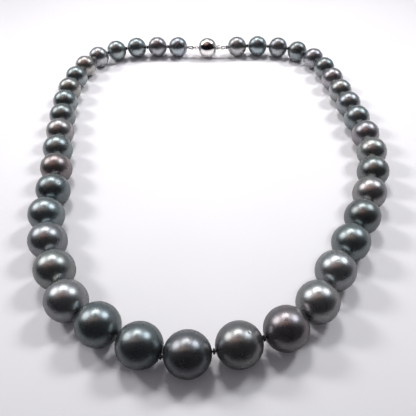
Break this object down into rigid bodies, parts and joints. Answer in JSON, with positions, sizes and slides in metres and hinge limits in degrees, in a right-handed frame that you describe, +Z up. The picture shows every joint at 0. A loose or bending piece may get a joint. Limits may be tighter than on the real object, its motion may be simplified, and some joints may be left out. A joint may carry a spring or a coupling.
{
  "type": "pearl necklace",
  "caption": "Graduated strand of dark round pearls, knotted on silk and closed with a polished ball clasp that has a sprung tongue.",
  "frame": {"origin": "on the surface that the necklace lies on, under the middle of its bounding box", "axes": "+X to the right, +Y from the largest pearl at the front to the clasp at the back, +Z up"},
  "size_m": [0.1294, 0.181, 0.0125],
  "materials": {
    "pearl_blue_grey": "polished nacre with a soft metallic lustre",
    "pearl_purple_silver": "polished nacre with a soft metallic lustre",
    "pearl_teal_green": "polished nacre with a soft metallic lustre",
    "pearl_silver": "polished nacre with a soft metallic lustre",
    "pearl_taupe": "polished nacre with a soft metallic lustre",
    "pearl_pistachio": "polished nacre with a soft metallic lustre",
    "pearl_dark_green": "polished nacre with a soft metallic lustre",
    "pearl_aubergine": "polished nacre with a soft metallic lustre",
    "pearl_midnight": "polished nacre with a soft metallic lustre",
    "pearl_charcoal": "polished nacre with a soft metallic lustre",
    "white_metal": "mirror polished white metal",
    "gimp_wire": "fine coiled wire",
    "silk": "twisted silk thread"
  },
  "bodies": {
    "pearl_01": {"pearl_01": "pearl_blue_grey"},
    "pearl_02": {"pearl_02": "pearl_purple_silver"},
    "pearl_03": {"pearl_03": "pearl_teal_green"},
    "pearl_04": {"pearl_04": "pearl_teal_green"},
    "pearl_05": {"pearl_05": "pearl_silver"},
    "pearl_06": {"pearl_06": "pearl_taupe"},
    "pearl_07": {"pearl_07": "pearl_teal_green"},
    "pearl_08": {"pearl_08": "pearl_pistachio"},
    "pearl_09": {"pearl_09": "pearl_teal_green"},
    "pearl_10": {"pearl_10": "pearl_dark_green"},
    "pearl_11": {"pearl_11": "pearl_taupe"},
    "pearl_12": {"pearl_12": "pearl_teal_green"},
    "pearl_13": {"pearl_13": "pearl_aubergine"},
    "pearl_14": {"pearl_14": "pearl_dark_green"},
    "pearl_15": {"pearl_15": "pearl_teal_green"},
    "pearl_16": {"pearl_16": "pearl_blue_grey"},
    "pearl_17": {"pearl_17": "pearl_pistachio"},
    "pearl_18": {"pearl_18": "pearl_silver"},
    "pearl_19": {"pearl_19": "pearl_dark_green"},
    "pearl_20": {"pearl_20": "pearl_dark_green"},
    "pearl_21": {"pearl_21": "pearl_midnight"},
    "pearl_22": {"pearl_22": "pearl_charcoal"},
    "pearl_23": {"pearl_23": "pearl_aubergine"},
    "pearl_24": {"pearl_24": "pearl_silver"},
    "pearl_25": {"pearl_25": "pearl_silver"},
    "pearl_26": {"pearl_26": "pearl_teal_green"},
    "pearl_27": {"pearl_27": "pearl_dark_green"},
    "pearl_28": {"pearl_28": "pearl_taupe"},
    "pearl_29": {"pearl_29": "pearl_dark_green"},
    "pearl_30": {"pearl_30": "pearl_pistachio"},
    "pearl_31": {"pearl_31": "pearl_purple_silver"},
    "pearl_32": {"pearl_32": "pearl_teal_green"},
    "pearl_33": {"pearl_33": "pearl_blue_grey"},
    "pearl_34": {"pearl_34": "pearl_pistachio"},
    "pearl_35": {"pearl_35": "pearl_purple_silver"},
    "pearl_36": {"pearl_36": "pearl_dark_green"},
    "pearl_37": {"pearl_37": "pearl_purple_silver"},
    "pearl_38": {"pearl_38": "pearl_dark_green"},
    "pearl_39": {"pearl_39": "pearl_blue_grey"},
    "pearl_40": {"pearl_40": "pearl_teal_green"},
    "pearl_41": {"pearl_41": "pearl_taupe", "end_knot": "silk"},
    "gimp_left": {"gimp_left": "gimp_wire", "thread_loop_left": "silk"},
    "link_ring": {"link_ring": "white_metal"},
    "ball": {"ball_eye": "white_metal", "ball_shell_left": "white_metal", "ball_shell_right": "white_metal", "ball_catch": "white_metal"},
    "gimp_right": {"gimp_right": "gimp_wire", "thread_loop_right": "silk"},
    "tongue": {"tongue_lower_leaf": "white_metal", "tongue_ring": "white_metal"},
    "tongue_leaf": {"tongue_upper_leaf": "white_metal", "thumb_tab": "white_metal"}
  },
  "joints": [
    {"name": "strand_open", "type": "hinge", "parent": "pearl_21", "child": "pearl_22", "pos_m": [0.0063, -0.08332, 0.00624], "axis": [0, 0, -1], "range_deg": [0, 10.25]},
    {"name": "knot_22_23", "type": "hinge", "parent": "pearl_22", "child": "pearl_23", "pos_m": [0.019, -0.07914, 0.00622], "axis": [0, 0, -1], "range_deg": [0, 10.25]},
    {"name": "knot_23_24", "type": "hinge", "parent": "pearl_23", "child": "pearl_24", "pos_m": [0.03068, -0.0728, 0.00616], "axis": [0, 0, -1], "range_deg": [0, 33]},
    {"name": "knot_24_25", "type": "hinge", "parent": "pearl_24", "child": "pearl_25", "pos_m": [0.03695, -0.06124, 0.00608], "axis": [0, 0, -1], "range_deg": [0, 1]},
    {"name": "knot_25_26", "type": "hinge", "parent": "pearl_25", "child": "pearl_26", "pos_m": [0.04294, -0.04974, 0.00598], "axis": [0, 0, -1], "range_deg": [0, 1]},
    {"name": "knot_26_27", "type": "hinge", "parent": "pearl_26", "child": "pearl_27", "pos_m": [0.04863, -0.03834, 0.00585], "axis": [0, 0, -1], "range_deg": [0, 4.83]},
    {"name": "knot_27_28", "type": "hinge", "parent": "pearl_27", "child": "pearl_28", "pos_m": [0.05323, -0.02674, 0.00571], "axis": [0, 0, -1], "range_deg": [0, 4.83]},
    {"name": "knot_28_29", "type": "hinge", "parent": "pearl_28", "child": "pearl_29", "pos_m": [0.05676, -0.01508, 0.00556], "axis": [0, 0, -1], "range_deg": [0, 4.83]},
    {"name": "knot_29_30", "type": "hinge", "parent": "pearl_29", "child": "pearl_30", "pos_m": [0.05923, -0.00347, 0.00541], "axis": [0, 0, -1], "range_deg": [0, 10]},
    {"name": "knot_30_31", "type": "hinge", "parent": "pearl_30", "child": "pearl_31", "pos_m": [0.05963, 0.00807, 0.00524], "axis": [0, 0, -1], "range_deg": [0, 10]},
    {"name": "knot_31_32", "type": "hinge", "parent": "pearl_31", "child": "pearl_32", "pos_m": [0.05807, 0.01919, 0.00509], "axis": [0, 0, -1], "range_deg": [0, 1.3]},
    {"name": "knot_32_33", "type": "hinge", "parent": "pearl_32", "child": "pearl_33", "pos_m": [0.0563, 0.02997, 0.00494], "axis": [0, 0, -1], "range_deg": [0, 1.3]},
    {"name": "knot_33_34", "type": "hinge", "parent": "pearl_33", "child": "pearl_34", "pos_m": [0.05435, 0.04041, 0.0048], "axis": [0, 0, -1], "range_deg": [0, 1.3]},
    {"name": "knot_34_35", "type": "hinge", "parent": "pearl_34", "child": "pearl_35", "pos_m": [0.05221, 0.05055, 0.00467], "axis": [0, 0, -1], "range_deg": [0, 1.3]},
    {"name": "knot_35_36", "type": "hinge", "parent": "pearl_35", "child": "pearl_36", "pos_m": [0.0499, 0.06041, 0.00457], "axis": [0, 0, -1], "range_deg": [0, 1.3]},
    {"name": "knot_36_37", "type": "hinge", "parent": "pearl_36", "child": "pearl_37", "pos_m": [0.04741, 0.07004, 0.00449], "axis": [0, 0, -1], "range_deg": [0, 20.5]},
    {"name": "knot_37_38", "type": "hinge", "parent": "pearl_37", "child": "pearl_38", "pos_m": [0.04178, 0.07808, 0.00443], "axis": [0, 0, -1], "range_deg": [0, 20.5]},
    {"name": "knot_38_39", "type": "hinge", "parent": "pearl_38", "child": "pearl_39", "pos_m": [0.03376, 0.08359, 0.00441], "axis": [0, 0, -1], "range_deg": [0, 20.5]},
    {"name": "knot_39_40", "type": "hinge", "parent": "pearl_39", "child": "pearl_40", "pos_m": [0.02435, 0.08594, 0.0044], "axis": [0, 0, -1], "range_deg": [0, 12]},
    {"name": "knot_40_41", "type": "hinge", "parent": "pearl_40", "child": "pearl_41", "pos_m": [0.01466, 0.08628, 0.0044], "axis": [0, 0, -1], "range_deg": [0, 12]},
    {"name": "knot_20_21", "type": "hinge", "parent": "pearl_21", "child": "pearl_20", "pos_m": [-0.00697, -0.08519, 0.00624], "axis": [0, 0, 1], "range_deg": [0, 38]},
    {"name": "knot_19_20", "type": "hinge", "parent": "pearl_20", "child": "pearl_19", "pos_m": [-0.01855, -0.0785, 0.00622], "axis": [0, 0, -1], "range_deg": [0, 4.5]},
    {"name": "knot_18_19", "type": "hinge", "parent": "pearl_19", "child": "pearl_18", "pos_m": [-0.03054, -0.07278, 0.00616], "axis": [0, 0, 1], "range_deg": [0, 24.25]},
    {"name": "knot_17_18", "type": "hinge", "parent": "pearl_18", "child": "pearl_17", "pos_m": [-0.03904, -0.06274, 0.00608], "axis": [0, 0, 1], "range_deg": [0, 24.25]},
    {"name": "knot_16_17", "type": "hinge", "parent": "pearl_17", "child": "pearl_16", "pos_m": [-0.04262, -0.05028, 0.00598], "axis": [0, 0, -1], "range_deg": [0, 14.5]},
    {"name": "knot_15_16", "type": "hinge", "parent": "pearl_16", "child": "pearl_15", "pos_m": [-0.04908, -0.0393, 0.00585], "axis": [0, 0, 1], "range_deg": [0, 28.5]},
    {"name": "knot_14_15", "type": "hinge", "parent": "pearl_15", "child": "pearl_14", "pos_m": [-0.04952, -0.02684, 0.00571], "axis": [0, 0, -1], "range_deg": [0, 4.75]},
    {"name": "knot_13_14", "type": "hinge", "parent": "pearl_14", "child": "pearl_13", "pos_m": [-0.05095, -0.01474, 0.00556], "axis": [0, 0, -1], "range_deg": [0, 4.75]},
    {"name": "knot_12_13", "type": "hinge", "parent": "pearl_13", "child": "pearl_12", "pos_m": [-0.05332, -0.00311, 0.00541], "axis": [0, 0, 1], "range_deg": [0, 1.13]},
    {"name": "knot_11_12", "type": "hinge", "parent": "pearl_12", "child": "pearl_11", "pos_m": [-0.0554, 0.00826, 0.00524], "axis": [0, 0, 1], "range_deg": [0, 1.13]},
    {"name": "knot_10_11", "type": "hinge", "parent": "pearl_11", "child": "pearl_10", "pos_m": [-0.0572, 0.01934, 0.00509], "axis": [0, 0, 1], "range_deg": [0, 1.13]},
    {"name": "knot_09_10", "type": "hinge", "parent": "pearl_10", "child": "pearl_09", "pos_m": [-0.05874, 0.03015, 0.00494], "axis": [0, 0, 1], "range_deg": [0, 1.13]},
    {"name": "knot_08_09", "type": "hinge", "parent": "pearl_09", "child": "pearl_08", "pos_m": [-0.06004, 0.04069, 0.0048], "axis": [0, 0, 1], "range_deg": [0, 7.17]},
    {"name": "knot_07_08", "type": "hinge", "parent": "pearl_08", "child": "pearl_07", "pos_m": [-0.06001, 0.05105, 0.00467], "axis": [0, 0, 1], "range_deg": [0, 7.17]},
    {"name": "knot_06_07", "type": "hinge", "parent": "pearl_07", "child": "pearl_06", "pos_m": [-0.05872, 0.0611, 0.00457], "axis": [0, 0, 1], "range_deg": [0, 7.17]},
    {"name": "knot_05_06", "type": "hinge", "parent": "pearl_06", "child": "pearl_05", "pos_m": [-0.05622, 0.07073, 0.00449], "axis": [0, 0, 1], "range_deg": [0, 22.67]},
    {"name": "knot_04_05", "type": "hinge", "parent": "pearl_05", "child": "pearl_04", "pos_m": [-0.0503, 0.07855, 0.00443], "axis": [0, 0, 1], "range_deg": [0, 22.67]},
    {"name": "knot_03_04", "type": "hinge", "parent": "pearl_04", "child": "pearl_03", "pos_m": [-0.04189, 0.08344, 0.00441], "axis": [0, 0, 1], "range_deg": [0, 22.67]},
    {"name": "knot_02_03", "type": "hinge", "parent": "pearl_03", "child": "pearl_02", "pos_m": [-0.03227, 0.08471, 0.0044], "axis": [0, 0, 1], "range_deg": [0, 5.25]},
    {"name": "knot_01_02", "type": "hinge", "parent": "pearl_02", "child": "pearl_01", "pos_m": [-0.02258, 0.08509, 0.0044], "axis": [0, 0, 1], "range_deg": [0, 5.25]},
    {"name": "knot_41_gimp", "type": "hinge", "parent": "pearl_41", "child": "gimp_right", "pos_m": [0.0051, 0.08459, 0.0044], "axis": [0, 0, -1], "range_deg": [0, 0.794]},
    {"name": "gimp_tongue", "type": "hinge", "parent": "gimp_right", "child": "tongue", "pos_m": [0.00242, 0.08408, 0.0044], "axis": [0, 0, 1], "range_deg": [0, 10.79]},
    {"name": "knot_01_gimp", "type": "hinge", "parent": "pearl_01", "child": "gimp_left", "pos_m": [-0.01289, 0.08458, 0.0044], "axis": [0, 0, 1], "range_deg": [0, 11.5]},
    {"name": "gimp_link", "type": "hinge", "parent": "gimp_left", "child": "link_ring", "pos_m": [-0.01049, 0.08396, 0.0044], "axis": [0, 0, -1], "range_deg": [0, 24.5]},
    {"name": "link_ball", "type": "hinge", "parent": "link_ring", "child": "ball", "pos_m": [-0.00981, 0.08408, 0.0044], "axis": [0, 0, 1], "range_deg": [0, 10]},
    {"name": "thumb_press", "type": "hinge", "parent": "tongue", "child": "tongue_leaf", "pos_m": [-0.00529, 0.08408, 0.00426], "axis": [0, 1, 0], "range_deg": [0, 4.5], "stiffness_Nm_per_rad": 0.05}
  ],
  "couplings": [
    {"joint": "knot_22_23", "follows": "strand_open", "ratio": 1},
    {"joint": "knot_23_24", "follows": "strand_open", "ratio": 3.2195},
    {"joint": "knot_24_25", "follows": "strand_open", "ratio": 0.097561},
    {"joint": "knot_25_26", "follows": "strand_open", "ratio": 0.097561},
    {"joint": "knot_26_27", "follows": "strand_open", "ratio": 0.47154},
    {"joint": "knot_27_28", "follows": "strand_open", "ratio": 0.47155},
    {"joint": "knot_28_29", "follows": "strand_open", "ratio": 0.47154},
    {"joint": "knot_29_30", "follows": "strand_open", "ratio": 0.97561},
    {"joint": "knot_30_31", "follows": "strand_open", "ratio": 0.97561},
    {"joint": "knot_31_32", "follows": "strand_open", "ratio": 0.12683},
    {"joint": "knot_32_33", "follows": "strand_open", "ratio": 0.12683},
    {"joint": "knot_33_34", "follows": "strand_open", "ratio": 0.12683},
    {"joint": "knot_34_35", "follows": "strand_open", "ratio": 0.12683},
    {"joint": "knot_35_36", "follows": "strand_open", "ratio": 0.12683},
    {"joint": "knot_36_37", "follows": "strand_open", "ratio": 2},
    {"joint": "knot_37_38", "follows": "strand_open", "ratio": 2},
    {"joint": "knot_38_39", "follows": "strand_open", "ratio": 2},
    {"joint": "knot_39_40", "follows": "strand_open", "ratio": 1.1707},
    {"joint": "knot_40_41", "follows": "strand_open", "ratio": 1.1707},
    {"joint": "knot_20_21", "follows": "strand_open", "ratio": 3.7073},
    {"joint": "knot_19_20", "follows": "strand_open", "ratio": 0.43902},
    {"joint": "knot_18_19", "follows": "strand_open", "ratio": 2.3659},
    {"joint": "knot_17_18", "follows": "strand_open", "ratio": 2.3659},
    {"joint": "knot_16_17", "follows": "strand_open", "ratio": 1.4146},
    {"joint": "knot_15_16", "follows": "strand_open", "ratio": 2.7805},
    {"joint": "knot_14_15", "follows": "strand_open", "ratio": 0.46342},
    {"joint": "knot_13_14", "follows": "strand_open", "ratio": 0.46342},
    {"joint": "knot_12_13", "follows": "strand_open", "ratio": 0.10976},
    {"joint": "knot_11_12", "follows": "strand_open", "ratio": 0.10976},
    {"joint": "knot_10_11", "follows": "strand_open", "ratio": 0.10976},
    {"joint": "knot_09_10", "follows": "strand_open", "ratio": 0.10976},
    {"joint": "knot_08_09", "follows": "strand_open", "ratio": 0.69919},
    {"joint": "knot_07_08", "follows": "strand_open", "ratio": 0.69918},
    {"joint": "knot_06_07", "follows": "strand_open", "ratio": 0.69919},
    {"joint": "knot_05_06", "follows": "strand_open", "ratio": 2.2114},
    {"joint": "knot_04_05", "follows": "strand_open", "ratio": 2.2113},
    {"joint": "knot_03_04", "follows": "strand_open", "ratio": 2.2114},
    {"joint": "knot_02_03", "follows": "strand_open", "ratio": 0.51219},
    {"joint": "knot_01_02", "follows": "strand_open", "ratio": 0.51219},
    {"joint": "knot_41_gimp", "follows": "strand_open", "ratio": 0.077366},
    {"joint": "gimp_tongue", "follows": "strand_open", "ratio": 1.053},
    {"joint": "knot_01_gimp", "follows": "strand_open", "ratio": 1.1215},
    {"joint": "gimp_link", "follows": "strand_open", "ratio": 2.3898},
    {"joint": "link_ball", "follows": "strand_open", "ratio": 0.97561}
  ]
}
